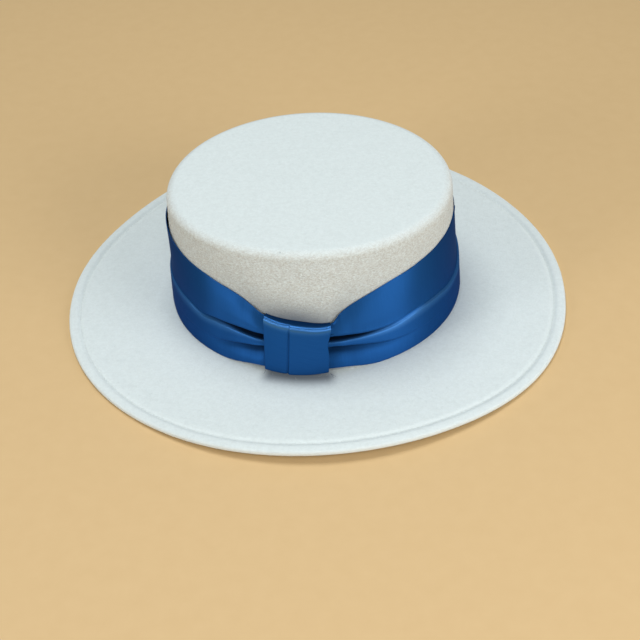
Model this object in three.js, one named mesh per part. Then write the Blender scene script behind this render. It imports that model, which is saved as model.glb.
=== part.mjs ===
// White wool felt boater hat with a pleated satin band and a wrapped knot.
// Millimetres, +Z up, lying on its brim on the plane z = 0.
// The long axis of the oval runs along X and the knot faces -Y.
import * as THREE from "three";

// Clearance between pieces that touch
const seatGap = 0.3;

// Smallest radius on the inside of a bend
const leastRadius = 0.3;

// Felt
const feltWall = 2.2;

// Crown: an oval wall that leans in a little, with a flat tip and a rounded tip edge
const hatHeight = 94;
const crownFootLength = 194.8;
const crownFootBreadth = 176.8;
const crownTopLength = 187.2;
const crownTopBreadth = 169.2;
const tipEdgeRadius = 6;
const tipDome = 0.6;

// Over the knot the wall leans in further above the band (degrees round from +X)
const frontLean = 5.4;
const frontLeanFrom = 45;
const frontLeanAngle = -93;
const frontLeanSpreadAngle = 78;

// Brim: a broad oval that falls a little from the crown to its turned and stitched hem
const brimLength = 342;
const brimBreadth = 328.4;
const brimFall = 1.5;
const hemWidth = 8;
const hemThickness = 3.9;
const hemEdgeRadius = 1.7;
const stitchGrooveWidth = 3.6;
const stitchGrooveDepth = 0.9;

// The hem curls up off the table at the front and at the back (degrees round from +X)
const frontLift = 5;
const frontLiftAngle = -83;
const frontLiftSpreadAngle = 55;
const backLift = 4;
const backLiftAngle = 90;
const backLiftSpreadAngle = 65;

// Satin band: a soft sheet round the crown, its pleats gathered in at the knot
const bandHeight = 66.5;
const bandSheet = 1;
const foldDepth = 4;
const creaseReach = 3;
const foldLip = 0.4;

// Knot: a short strip wrapped once round the gathered band, with a pleat down its front
// (from and to are shares of half its width, from its middle)
const knotAngle = -93.5;
const knotWidth = 41.4;
const knotSheet = 1;
const knotFloat = 2.4;
const knotBulge = 1.4;
const knotTopRadius = 4.6;
const knotSideRadius = 1.2;
const knotPleatStep = 0.6;
const knotPleatFrom = -0.4;
const knotPleatTo = -0.2;

// The knot's top is broader than its foot and turned to the right of it (degrees each way)
const knotTopWiderAngle = 0.5;
const knotTopTurnAngle = 0.7;

// How far beside the knot the band is drawn in: degrees over which its bottom edge rises, and
// over which it comes off the crown to let the knot pass behind it
const bandRiseAngle = 20;
const bandStandAngle = 9;

// Colours and finishes
const feltColour = 0xdfe7e5;
const satinColour = 0x1f5c9c;

// Wave of the hem in plan: degrees round from +X, reach as a share of hemWave
const hemWave = 4;
const hemOutline = [
  { at: 0, reach: -0.15 },
  { at: 30, reach: -0.4 },
  { at: 60, reach: 0 },
  { at: 90, reach: 0 },
  { at: 120, reach: -0.1 },
  { at: 150, reach: -1 },
  { at: 180, reach: -0.2 },
  { at: 210, reach: 0.4 },
  { at: 240, reach: 0.05 },
  { at: 270, reach: 0 },
  { at: 300, reach: 0.1 },
  { at: 330, reach: 0.95 },
];

// Sections of the band, degrees round from the knot towards +X.
// top, fold and crease are heights above the brim, and gape is how far the fold opens below the
// upper panel, as shares of bandHeight.
// The others say how far the satin stands off the crown, as shares of foldDepth: at the top
// edge (lip), the upper panel (roll), inside the fold (deep), the middle panel (belly), the
// shallow crease, the lower panel (skirt) and the bottom edge (foot).
const bandColumns = [
  "at", "top", "fold", "gape", "crease", "lip", "roll", "deep", "belly", "shallow", "skirt", "foot",
];
const bandSections = [
  [-180, 1, 0.42, 0.035, 0.18, 0.06, 0.12, 0.1, 0.3, 0.28, 0.26, 0.12],
  [-110, 1, 0.43, 0.035, 0.18, 0.1, 0.08, 0.08, 0.3, 0.28, 0.26, 0.14],
  [-87, 1, 0.44, 0.035, 0.18, 0.34, 0.04, 0.05, 0.3, 0.29, 0.28, 0.15],
  [-68, 0.982, 0.455, 0.035, 0.18, 0.14, 0.06, 0.06, 0.34, 0.31, 0.3, 0.18],
  [-52, 0.945, 0.455, 0.035, 0.18, 0.06, 0.12, 0.1, 0.38, 0.34, 0.34, 0.22],
  [-42, 0.922, 0.42, 0.035, 0.18, 0.06, 0.24, 0.12, 0.4, 0.36, 0.38, 0.26],
  [-34, 0.895, 0.46, 0.055, 0.185, 0.08, 0.46, 0.02, 0.44, 0.24, 0.42, 0.3],
  [-24, 0.838, 0.477, 0.075, 0.228, 0.08, 0.68, 0, 0.6, 0.1, 0.48, 0.36],
  [-17, 0.752, 0.473, 0.082, 0.252, 0.08, 0.8, 0, 0.7, 0, 0.5, 0.4],
  [-12, 0.672, 0.47, 0.082, 0.275, 0.1, 0.8, 0, 0.7, 0, 0.5, 0.4],
  [0, 0.612, 0.44, 0.06, 0.26, 0.15, 0.75, 0.3, 0.65, 0.35, 0.5, 0.4],
  [13, 0.583, 0.462, 0.078, 0.286, 0.1, 0.8, 0, 0.7, 0, 0.5, 0.4],
  [17, 0.69, 0.452, 0.076, 0.272, 0.08, 0.8, 0, 0.7, 0, 0.5, 0.4],
  [24, 0.79, 0.428, 0.06, 0.248, 0.08, 0.64, 0, 0.58, 0.04, 0.48, 0.36],
  [36, 0.884, 0.403, 0.04, 0.202, 0.06, 0.38, 0.03, 0.45, 0.22, 0.42, 0.3],
  [52, 0.945, 0.445, 0.035, 0.18, 0.04, 0.12, 0.1, 0.4, 0.36, 0.36, 0.22],
  [62, 0.965, 0.435, 0.035, 0.18, 0.02, 0.06, 0.06, 0.4, 0.37, 0.34, 0.2],
  [72, 0.982, 0.4, 0.035, 0.18, 0, 0.02, 0.02, 0.42, 0.4, 0.37, 0.21],
  [88, 1.003, 0.395, 0.035, 0.18, 0, 0, 0, 0.45, 0.44, 0.4, 0.22],
  [105, 1, 0.475, 0.035, 0.18, 0, 0.02, 0.02, 0.4, 0.38, 0.34, 0.18],
].map((row) => Object.fromEntries(row.map((value, index) => [bandColumns[index], value])));

// Facets
const feltDivisions = 84;
const bandWideAngle = 4.5;
const bandFineAngle = 1.5;
const bandFineSpreadAngle = 22.5;
const knotColumns = 10;
const cornerSteps = 3;

const radians = (degrees) => (degrees * Math.PI) / 180;
const mix = (from, to, share) => from + (to - from) * share;
const limit = (value, low, high) => Math.min(Math.max(value, low), high);

// Eases from 0 at low to 1 at high
function ease(low, high, value) {
  const share = limit((value - low) / (high - low), 0, 1);
  return share * share * (3 - 2 * share);
}

// Degrees brought into -180 to 180
function wrapDegrees(degrees) {
  return ((((degrees + 180) % 360) + 360) % 360) - 180;
}

// Value of one column of a table of angles, on a smooth curve through its rows that closes on itself
function tableValue(rows, column, degrees) {
  const count = rows.length;
  const start = rows[0].at;
  const angle = start + ((((degrees - start) % 360) + 360) % 360);
  const row = (index) => rows[((index % count) + count) % count];
  const rowAt = (index) => row(index).at + 360 * Math.floor(index / count);
  let first = 0;
  while (rowAt(first + 1) <= angle) first += 1;
  const slope = (index) => {
    const rise = row(index + 1)[column] - row(index - 1)[column];
    return rise / (rowAt(index + 1) - rowAt(index - 1));
  };
  const span = rowAt(first + 1) - rowAt(first);
  const u = (angle - rowAt(first)) / span;
  const later = u * u * (3 - 2 * u);
  const leaving = slope(first) * span * u * (1 - u) ** 2;
  const arriving = slope(first + 1) * span * u * u * (u - 1);
  return mix(row(first)[column], row(first + 1)[column], later) + leaving + arriving;
}

// Point of an oval with the given half axes, in degrees round from +X
function ovalPoint(halfLength, halfBreadth, degrees, z) {
  const turn = radians(degrees);
  return [halfLength * Math.cos(turn), halfBreadth * Math.sin(turn), z];
}

// Smooth bump round the hat: 1 at its middle, 0 where the spread ends
function bumpAt(degrees, middle, spread) {
  const away = Math.abs(wrapDegrees(degrees - middle)) / spread;
  return away < 1 ? Math.cos((away * Math.PI) / 2) ** 2 : 0;
}

// Crown
const wallTop = hatHeight - tipDome - tipEdgeRadius;
const brimFoot = hemThickness + brimFall;

// Point that stands off the outside of the crown's wall; a negative distance lies inside it
function crownPoint(degrees, z, standOff) {
  const share = (z - brimFoot) / (wallTop - brimFoot);
  const above = limit((z - frontLeanFrom) / (wallTop - frontLeanFrom), 0, 1);
  const lean = frontLean * above ** 2 * bumpAt(degrees, frontLeanAngle, frontLeanSpreadAngle);
  const out = standOff - lean;
  const halfLength = mix(crownFootLength, crownTopLength, share) / 2 + out;
  const halfBreadth = mix(crownFootBreadth, crownTopBreadth, share) / 2 + out;
  return ovalPoint(halfLength, halfBreadth, degrees, z);
}

// Point of the tip's rounded edge: turn 90 is where the flat tip starts, turn 0 is the wall
function tipEdgePoint(degrees, turn, inset, radius) {
  const z = wallTop + tipEdgeRadius - inset - radius * (1 - Math.sin(radians(turn)));
  const standOff = -inset - radius * (1 - Math.cos(radians(turn)));
  const atTop = crownPoint(degrees, wallTop, standOff);
  return [atTop[0], atTop[1], z];
}

// Brim
function hemLift(degrees) {
  const front = frontLift * bumpAt(degrees, frontLiftAngle, frontLiftSpreadAngle);
  const back = backLift * bumpAt(degrees, backLiftAngle, backLiftSpreadAngle);
  return front + back;
}

// Point of the hem, inset from the brim's edge and at a height above the hem's flat underside
function hemPoint(degrees, inset, height) {
  const reach = hemWave * tableValue(hemOutline, "reach", degrees);
  const halfLength = brimLength / 2 + reach - inset;
  const halfBreadth = brimBreadth / 2 + reach - inset;
  return ovalPoint(halfLength, halfBreadth, degrees, height + hemLift(degrees));
}

// Point of the brim between the crown (share 0) and the hem (share 1), below its top face
function brimPoint(degrees, share, standOff, hemInset, below) {
  const foot = crownPoint(degrees, brimFoot, standOff);
  const hem = hemPoint(degrees, hemInset, hemThickness);
  const flatZ = mix(brimFoot, hemThickness, share);
  const z = flatZ + hemLift(degrees) * ease(0, 1, share) - below;
  return [mix(foot[0], hem[0], share), mix(foot[1], hem[1], share), z];
}

// Rings of the felt, from the middle of the tip out to the hem and back along the underside
function feltRings() {
  const rings = [];
  const grooveEdge = hemWidth + stitchGrooveWidth / 2;
  const hemEdge = (turn) => {
    const centre = turn >= 0 ? hemThickness - hemEdgeRadius : hemEdgeRadius;
    const inset = hemEdgeRadius * (1 - Math.cos(radians(turn)));
    return (degrees) => hemPoint(degrees, inset, centre + hemEdgeRadius * Math.sin(radians(turn)));
  };
  const tipRing = (share, inset, radius) => (degrees) => {
    const [x, y, z] = tipEdgePoint(degrees, 90, inset, radius);
    return [x * share, y * share, z + tipDome * (1 - share * share)];
  };
  rings.push(tipRing(0.5, 0, tipEdgeRadius));
  for (const turn of [90, 67.5, 45, 22.5, 0]) {
    rings.push((degrees) => tipEdgePoint(degrees, turn, 0, tipEdgeRadius));
  }
  for (const share of [0.85, 0.68, 0.45, 0]) {
    rings.push((degrees) => crownPoint(degrees, mix(brimFoot, wallTop, share), 0));
  }
  for (const share of [0.33, 0.67, 1]) {
    rings.push((degrees) => brimPoint(degrees, share, 0, grooveEdge, 0));
  }
  rings.push((degrees) => hemPoint(degrees, hemWidth, hemThickness - stitchGrooveDepth));
  rings.push((degrees) => hemPoint(degrees, hemWidth - stitchGrooveWidth / 2, hemThickness));
  for (const turn of [90, 45, 0, -45, -90]) rings.push(hemEdge(turn));
  rings.push((degrees) => hemPoint(degrees, hemWidth, 0));
  for (const share of [1, 0.67, 0.33, 0]) {
    rings.push((degrees) => brimPoint(degrees, share, -feltWall, hemWidth, feltWall));
  }
  for (const share of [0.45, 0.68, 0.85]) {
    rings.push((degrees) => crownPoint(degrees, mix(brimFoot, wallTop, share), -feltWall));
  }
  const innerRadius = Math.max(tipEdgeRadius - feltWall, leastRadius);
  for (const turn of [0, 45, 90]) {
    rings.push((degrees) => tipEdgePoint(degrees, turn, feltWall, innerRadius));
  }
  rings.push(tipRing(0.5, feltWall, innerRadius));
  return rings;
}

// Closed body from rings between two poles
function bodyBetweenPoles(firstPole, rings, lastPole, divisions) {
  const points = [firstPole];
  for (const ring of rings) {
    for (let step = 0; step < divisions; step += 1) points.push(ring((360 * step) / divisions));
  }
  points.push(lastPole);
  const faces = [];
  const at = (ring, step) => 1 + ring * divisions + (step % divisions);
  const last = points.length - 1;
  for (let step = 0; step < divisions; step += 1) {
    faces.push(0, at(0, step), at(0, step + 1));
    faces.push(last, at(rings.length - 1, step + 1), at(rings.length - 1, step));
    for (let ring = 0; ring + 1 < rings.length; ring += 1) {
      faces.push(at(ring, step), at(ring + 1, step), at(ring + 1, step + 1));
      faces.push(at(ring, step), at(ring + 1, step + 1), at(ring, step + 1));
    }
  }
  return geometryOf(points, faces);
}

// Closed body from a grid of points that joins up with itself both ways
function bodyOfLoops(loops) {
  const points = loops.flat();
  const size = loops[0].length;
  const faces = [];
  const at = (loop, step) => (loop % loops.length) * size + (step % size);
  for (let loop = 0; loop < loops.length; loop += 1) {
    for (let step = 0; step < size; step += 1) {
      faces.push(at(loop, step), at(loop + 1, step), at(loop + 1, step + 1));
      faces.push(at(loop, step), at(loop + 1, step + 1), at(loop, step + 1));
    }
  }
  return geometryOf(points, faces);
}

function geometryOf(points, faces) {
  const geometry = new THREE.BufferGeometry();
  geometry.setAttribute("position", new THREE.Float32BufferAttribute(points.flat(), 3));
  geometry.setIndex(faces);
  geometry.computeVertexNormals();
  return geometry;
}

// Half the knot's width as an angle round the crown
const knotHalf = THREE.MathUtils.radToDeg(knotWidth / (crownFootLength + foldDepth + knotSheet));

// How far the band is drawn into the knot: 1 inside it, 0 beyond the reach in degrees
function drawnIn(away, reach) {
  return 1 - ease(knotHalf + bandFineAngle / 2, knotHalf + reach, Math.abs(away));
}

// Section of the band at an angle from the knot: height and stand-off of each row, bottom edge first
function bandSection(away) {
  const value = (column) => tableValue(bandSections, column, away);
  const lifted = drawnIn(away, bandRiseAngle) * (knotFloat + knotSheet);
  const passed = drawnIn(away, bandStandAngle) * (knotSheet + seatGap);
  const bottom = brimFoot + seatGap + lifted;
  const height = (column) => brimFoot + seatGap + value(column) * bandHeight;
  const [top, fold, crease] = [height("top"), height("fold"), height("crease")];
  const gape = value("gape") * bandHeight;
  const ridge = fold - gape;
  const rows = [
    { z: bottom, off: value("foot") },
    { z: mix(bottom, crease - creaseReach, 0.5), off: value("skirt") },
    { z: crease - creaseReach, off: value("skirt") },
    { z: crease, off: value("shallow") },
    { z: mix(crease, ridge, 0.6), off: mix(value("shallow"), value("belly"), 0.8) },
    { z: ridge, off: value("belly") },
    { z: mix(ridge, fold, 0.4), off: value("deep") },
    { z: mix(ridge, fold, 0.8), off: value("deep") },
    { z: fold + foldLip, off: mix(value("deep"), value("roll"), 0.95) },
    { z: mix(fold, top, 0.45), off: value("roll") },
    { z: mix(fold, top, 0.75), off: mix(value("roll"), value("lip"), 0.6) },
    { z: top, off: value("lip") },
  ];
  return rows.map(({ z, off }) => ({ z, off: passed + Math.max(off, 0) * foldDepth }));
}

// Angles of the band's columns, from the knot: fine steps beside the knot and wide ones elsewhere
function bandAngles() {
  const angles = [];
  let angle = -180;
  while (angle < 180 - bandFineAngle / 2) {
    angles.push(angle);
    angle += Math.abs(angle + bandFineAngle / 2) < bandFineSpreadAngle ? bandFineAngle : bandWideAngle;
  }
  return angles;
}

// Satin band: each loop goes up the outside of one section and back down the inside.
// The inside follows the nearest crown-ward rows, so no fold is thinner than the sheet.
function bandGeometry() {
  const loops = bandAngles().map((away) => {
    const rows = bandSection(away);
    const innerOff = (index) => {
      const near = rows.slice(Math.max(index - 1, 0), index + 2).map((row) => row.off);
      return Math.min(...near);
    };
    const outer = rows.map(({ z, off }) => crownPoint(knotAngle + away, z, seatGap + bandSheet + off));
    const inner = rows.map(({ z }, index) => crownPoint(knotAngle + away, z, seatGap + innerOff(index)));
    return [...outer, ...inner.reverse()];
  });
  return bodyOfLoops(loops);
}

// Rounded rectangle in the plane of stand-off and height, from the back bottom corner up the back
function roundedLoop(back, front, bottom, top, topRadius, sideRadius) {
  const corners = [
    { off: back, z: bottom, radius: sideRadius, turn: 270 },
    { off: back, z: top, radius: sideRadius, turn: 180 },
    { off: front, z: top, radius: topRadius, turn: 90 },
    { off: front, z: bottom, radius: sideRadius, turn: 0 },
  ];
  const points = [];
  for (const { off, z, radius, turn } of corners) {
    const centreOff = off === back ? back + radius : front - radius;
    const centreZ = z === bottom ? bottom + radius : top - radius;
    for (let step = 0; step <= cornerSteps; step += 1) {
      const angle = radians(turn - (90 * step) / cornerSteps);
      points.push({ off: centreOff + radius * Math.cos(angle), z: centreZ + radius * Math.sin(angle) });
    }
  }
  return points;
}

// Knot: at each column the strip goes once round the band's section there, behind it too.
// Its right-hand part laps over the left one at a pleat a third of the way across, and its
// columns lean outward from foot to top.
function knotGeometry() {
  const columns = [];
  for (let step = 0; step <= knotColumns; step += 1) {
    const across = mix(-1, 1, step / knotColumns);
    const lean = knotTopWiderAngle * across + knotTopTurnAngle;
    const footAway = knotHalf * across - lean;
    const topAway = knotHalf * across + lean;
    const topRows = bandSection(topAway);
    const bottom = bandSection(footAway)[0].z - seatGap;
    const top = topRows[topRows.length - 1].z + seatGap;
    const passing = [...bandSection(footAway), ...topRows];
    const fullest = Math.max(...passing.map((row) => row.off));
    const pleat = knotPleatStep * ease(knotPleatFrom, knotPleatTo, across);
    const front = 2 * seatGap + bandSheet + fullest + pleat + knotBulge * (1 - across * across);
    const outer = roundedLoop(
      seatGap,
      front + knotSheet,
      bottom - knotSheet,
      top + knotSheet,
      knotTopRadius,
      knotSideRadius,
    );
    const inner = roundedLoop(
      seatGap + knotSheet,
      front,
      bottom,
      top,
      Math.max(knotTopRadius - knotSheet, leastRadius),
      Math.max(knotSideRadius - knotSheet, leastRadius),
    );
    const place = ({ off, z }) => {
      const away = mix(footAway, topAway, (z - bottom) / (top - bottom));
      return crownPoint(knotAngle + away, z, off);
    };
    columns.push({ outer: outer.map(place), inner: inner.map(place) });
  }
  const loops = columns[0].outer.map((point, index) => {
    const outside = columns.map((column) => column.outer[index]);
    const inside = columns.map((column) => column.inner[index]);
    return [...outside, ...inside.reverse()];
  });
  return bodyOfLoops(loops);
}

function feltGeometry() {
  const tipTop = [0, 0, hatHeight];
  const tipUnder = [0, 0, hatHeight - feltWall];
  return bodyBetweenPoles(tipTop, feltRings(), tipUnder, feltDivisions);
}

function named(name, geometry, colour, roughness) {
  const material = new THREE.MeshStandardMaterial({ color: colour, roughness, metalness: 0 });
  const mesh = new THREE.Mesh(geometry, material);
  mesh.name = name;
  return mesh;
}

const hat = new THREE.Group();
hat.add(named("felt_body", feltGeometry(), feltColour, 0.95));
hat.add(named("ribbon_band", bandGeometry(), satinColour, 0.4));
hat.add(named("knot_wrap", knotGeometry(), satinColour, 0.4));

export default hat;
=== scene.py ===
import bpy
import numpy as np
from mathutils import Matrix, Vector


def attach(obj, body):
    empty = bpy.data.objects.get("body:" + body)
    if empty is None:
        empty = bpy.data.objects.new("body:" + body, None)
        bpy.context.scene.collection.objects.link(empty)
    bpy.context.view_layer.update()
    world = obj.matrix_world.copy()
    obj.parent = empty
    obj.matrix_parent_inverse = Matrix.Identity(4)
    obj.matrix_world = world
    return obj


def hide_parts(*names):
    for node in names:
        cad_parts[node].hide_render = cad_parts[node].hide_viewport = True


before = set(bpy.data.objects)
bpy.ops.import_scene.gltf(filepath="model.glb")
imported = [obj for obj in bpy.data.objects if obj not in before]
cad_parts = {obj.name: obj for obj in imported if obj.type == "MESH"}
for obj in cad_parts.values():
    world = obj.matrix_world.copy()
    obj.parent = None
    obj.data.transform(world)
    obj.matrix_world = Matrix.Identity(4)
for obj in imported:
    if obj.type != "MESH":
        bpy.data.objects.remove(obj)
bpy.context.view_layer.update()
millimetre = 0.001

# What the solids and the dressed pieces share
hat = {
    "height": 94.0,
    "feltWall": 2.2,
    "footLength": 194.8,
    "footBreadth": 176.8,
    "topLength": 187.2,
    "topBreadth": 169.2,
    "tipEdgeRadius": 6.0,
    "tipDome": 0.6,
    "frontLean": 5.4,     # over the knot the wall leans in further above the band
    "frontLeanFrom": 45.0,
    "frontLeanAt": -93.0,
    "frontLeanSpread": 78.0,
    "wallUneven": 0.12,   # soft unevenness of the pressed felt
    "seatGap": 0.3,
    "knotAt": -93.5,      # degrees round from +X
}


def linearColour(hexCode):
    # sRGB hex to the linear colour of the shaders: straight near black, then a power of 2.4
    srgb = np.array([int(hexCode[i:i + 2], 16) for i in (1, 3, 5)]) / 255
    linear = np.where(srgb <= 0.04045, srgb / 12.92, ((srgb + 0.055) / 1.055) ** 2.4)
    return (*linear.tolist(), 1.0)


def mix(start, end, share):
    # straight line from start to end
    return start + (end - start) * share


def ease(low, high, value):
    # 0 below low, 1 above high, 3s^2 - 2s^3 between
    share = np.clip((value - low) / (high - low), 0, 1)
    return share * share * (3 - 2 * share)


def awayFrom(degrees, at):
    # the angle from at to degrees, brought into -180..180
    return (degrees - at + 180) % 360 - 180


def bumpAt(degrees, at, spread):
    # cosine-squared bump: 1 at its middle, 0 where the spread ends
    away = np.abs(awayFrom(degrees, at)) / spread
    return np.cos(np.minimum(away, 1) * np.pi / 2) ** 2


def tableCurve(rows, column, degrees):
    # cubic Hermite curve through the rows of a closed table, slopes from each row's two neighbours
    at = rows[:, 0]
    value = rows[:, column]
    angle = at[0] + (degrees - at[0]) % 360
    first = np.searchsorted(at, angle, side="right") - 1
    second = (first + 1) % len(at)
    slope = (np.roll(value, -1) - np.roll(value, 1)) / ((np.roll(at, -1) - np.roll(at, 1)) % 360)
    span = (at[second] - at[first]) % 360
    u = (angle - at[first]) / span
    blended = mix(value[first], value[second], u * u * (3 - 2 * u))
    return blended + span * (slope[first] * u * (1 - u) ** 2 + slope[second] * u * u * (u - 1))


def ripple(degrees, z, waves, seed):
    # smooth unevenness: a sum of seeded sine waves round the hat and up it, about -1 to 1
    rng = np.random.default_rng(seed)
    total = 0
    for turns, perHeight in waves:
        phase = rng.uniform(0, 2 * np.pi)
        total = total + np.sin(np.radians(degrees) * turns + z * perHeight + phase)
    return total / len(waves)


def meshObject(name, points, faces, smooth=True):
    # mesh at the origin from points in millimetres and faces that all have as many corners
    mesh = bpy.data.meshes.new(name)
    mesh.vertices.add(len(points))
    mesh.vertices.foreach_set("co", (points * millimetre).astype(np.float32).ravel())
    corners = faces.shape[1]
    mesh.loops.add(faces.size)
    mesh.loops.foreach_set("vertex_index", faces.astype(np.int32).ravel())
    mesh.polygons.add(len(faces))
    mesh.polygons.foreach_set("loop_start", (np.arange(len(faces)) * corners).astype(np.int32))
    mesh.polygons.foreach_set("use_smooth", np.full(len(faces), smooth))
    mesh.update(calc_edges=True)
    mesh.validate()
    piece = bpy.data.objects.new(name, mesh)
    bpy.context.scene.collection.objects.link(piece)
    return piece


def gridFaces(rows, columns, closeRows, closeColumns):
    # quads of a rows x columns grid of points, joined up with itself where it is closed
    i = np.arange(rows if closeRows else rows - 1)[:, None]
    j = np.arange(columns if closeColumns else columns - 1)[None, :]
    up = (i + 1) % rows
    along = (j + 1) % columns
    corners = [i * columns + j, up * columns + j, up * columns + along, i * columns + along]
    return np.stack([np.broadcast_to(c, (len(i), j.shape[1])).ravel() for c in corners], axis=1)


def surfaceUV(piece, name, uv):
    # a UV per point, spread to the face corners. "cloth" is in millimetres, along the ribbon and
    # across it; "folds" holds the painted shade in folds and on hidden faces and the painted
    # highlight along bent edges; "felt" holds the painted shade near the knot and how much its nap stands
    # up
    layer = piece.data.uv_layers.new(name=name)
    corner = np.empty(len(piece.data.loops), dtype=np.int32)
    piece.data.loops.foreach_get("vertex_index", corner)
    layer.data.foreach_set("uv", uv[corner].astype(np.float32).ravel())


# How the felt looks from place to place: painted shade by the knot, and its standing nap
nap = {
    "wall": 1.0,          # the nap stands up on the side of the crown
    "flat": 0.15,         # and is pressed flat on the tip and the brim
    "shadeReach": 12.0,  # mm over which the painted shade fades above the band's top edge
    "footAt": 6.0,        # mm from the crown's foot where the knot's painted shadow on the brim is darkest
    "footReach": 6.5,     # mm over which that fades
    "brimWidth": 65.0,    # mm from the crown's foot to the hem
    "frontFrom": 10.0,    # degrees between which that ends beside the knot
    "frontTo": 15.0,
    "knotSpread": 18.0,   # degrees over which the painted shade on the wall ends beside it
    "awayFromKnot": 0.05,
}


def besideKnot(degrees):
    # 1 over the knot, falling to a small share elsewhere by a bell curve
    away = awayFrom(degrees, hat["knotAt"])
    return mix(nap["awayFromKnot"], 1, np.exp(-(away / nap["knotSpread"]) ** 2))


def wallShadeAboveBand(degrees, z):
    # painted shade on the wall, falling off by a bell curve above the band's top edge
    top = tableCurve(bandSections, bandColumns.index("top"), awayFrom(degrees, hat["knotAt"]))
    above = z - brimFoot - hat["seatGap"] - top * band["height"]
    return besideKnot(degrees) * np.exp(-(np.maximum(above, 0) / nap["shadeReach"]) ** 2)


def knotShadowOnBrim(degrees, distance):
    # painted shadow of the knot on the brim: a bell curve of the distance from the crown's foot, in front
    # of the knot only
    away = awayFrom(degrees, hat["knotAt"])
    front = 1 - ease(nap["frontFrom"], nap["frontTo"], np.abs(away))
    return front * np.exp(-((distance - nap["footAt"]) / nap["footReach"]) ** 2)


# Shape of the felt
brim = {
    "length": 342.0,
    "breadth": 328.4,
    "fall": 1.5,          # from the crown down to the hem
    "hemWidth": 8.0,
    "hemThickness": 3.9,
    "hemEdgeRadius": 1.7,
    "hemCrown": 0.35,     # the turned hem is a little plump
    "grooveDepth": 0.65,
    "grooveWidth": 3.6,
    "grooveSoftness": 0.4,  # spread of the bell-shaped groove, as a share of its width
    "uneven": 0.35,
    "hemWave": 4.0,
    "frontLift": 5.0,
    "frontLiftAt": -83.0,
    "frontLiftSpread": 55.0,
    "backLift": 4.0,
    "backLiftAt": 90.0,
    "backLiftSpread": 65.0,
}

# Wave of the hem in plan: degrees round from +X, reach as a share of hemWave
hemOutline = np.array([
    [0, -0.15], [30, -0.4], [60, 0], [90, 0], [120, -0.1], [150, -1],
    [180, -0.2], [210, 0.4], [240, 0.05], [270, 0], [300, 0.1], [330, 0.95],
])

# Waves of the unevenness: turns round the hat, radians for each millimetre or share upwards
wallWaves = [(4, 0.05), (7, -0.08), (11, 0.1)]
brimWaves = [(3, 1), (5, -1), (8, 1)]

# How many rings each stretch of the felt has
feltRings = {
    "steps": 720,         # points in a ring
    "tip": 24,
    "tipEdge": 12,
    "wall": 40,
    "brim": 34,
    "hemTop": 16,
    "hemEdge": 13,
    "brimUnder": 12,
    "wallInside": 14,
    "tipEdgeInside": 7,
    "tipInside": 8,
}

wallTop = hat["height"] - hat["tipDome"] - hat["tipEdgeRadius"]
brimFoot = brim["hemThickness"] + brim["fall"]


def crownPoints(degrees, z, standOff):
    # oval whose half axes run in a straight line from foot to top, plus the stand-off
    share = (z - brimFoot) / (wallTop - brimFoot)
    above = np.clip((z - hat["frontLeanFrom"]) / (wallTop - hat["frontLeanFrom"]), 0, 1)
    leaning = bumpAt(degrees, hat["frontLeanAt"], hat["frontLeanSpread"])
    out = standOff - hat["frontLean"] * above ** 2 * leaning
    halfLength = mix(hat["footLength"], hat["topLength"], share) / 2 + out
    halfBreadth = mix(hat["footBreadth"], hat["topBreadth"], share) / 2 + out
    turn = np.radians(degrees)
    x = halfLength * np.cos(turn)
    y = halfBreadth * np.sin(turn)
    return np.stack([x, y, np.broadcast_to(z, x.shape)], axis=-1)


def tipEdgePoints(degrees, turn, inset, radius):
    # quarter circle from the flat tip (turn 90) to the wall (turn 0)
    z = wallTop + hat["tipEdgeRadius"] - inset - radius * (1 - np.sin(np.radians(turn)))
    points = crownPoints(degrees, wallTop, -inset - radius * (1 - np.cos(np.radians(turn))))
    points[..., 2] = z
    return points


def hemLift(degrees):
    # the rim curls up at the front and at the back
    front = brim["frontLift"] * bumpAt(degrees, brim["frontLiftAt"], brim["frontLiftSpread"])
    back = brim["backLift"] * bumpAt(degrees, brim["backLiftAt"], brim["backLiftSpread"])
    return front + back


def hemPoints(degrees, inset, height):
    # oval of the brim's edge, waved by the outline table and drawn in by the inset
    reach = brim["hemWave"] * tableCurve(hemOutline, 1, degrees)
    turn = np.radians(degrees)
    x = (brim["length"] / 2 + reach - inset) * np.cos(turn)
    y = (brim["breadth"] / 2 + reach - inset) * np.sin(turn)
    return np.stack([x, y, height + hemLift(degrees)], axis=-1)


def brimPoints(degrees, share, standOff, hemInset, below):
    # straight lines from the crown's foot to the hem, lifted with the rim by an eased share
    foot = crownPoints(degrees, brimFoot, standOff)
    hem = hemPoints(degrees, hemInset, brim["hemThickness"])
    points = mix(foot, hem, share)
    flat = mix(brimFoot, brim["hemThickness"], share)
    points[..., 2] = flat + hemLift(degrees) * ease(0, 1, share) - below
    soft = ripple(degrees, 3 * share, brimWaves, seed=3)
    points[..., 2] += brim["uneven"] * np.sin(np.pi * share) * soft
    return points


def feltBrim(degrees, share):
    # the brim's top face at any angle and share, raised by 0.1 mm so that fibres clear its
    # small unevenness
    foot = crownPoints(degrees, np.full(degrees.shape, brimFoot), 0)
    hem = hemPoints(degrees, brim["hemWidth"] + brim["grooveWidth"] / 2, brim["hemThickness"])
    points = mix(foot, hem, share[..., None])
    flat = mix(brimFoot, brim["hemThickness"], share)
    points[..., 2] = flat + hemLift(degrees) * ease(0, 1, share) + 0.1
    return points


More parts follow.
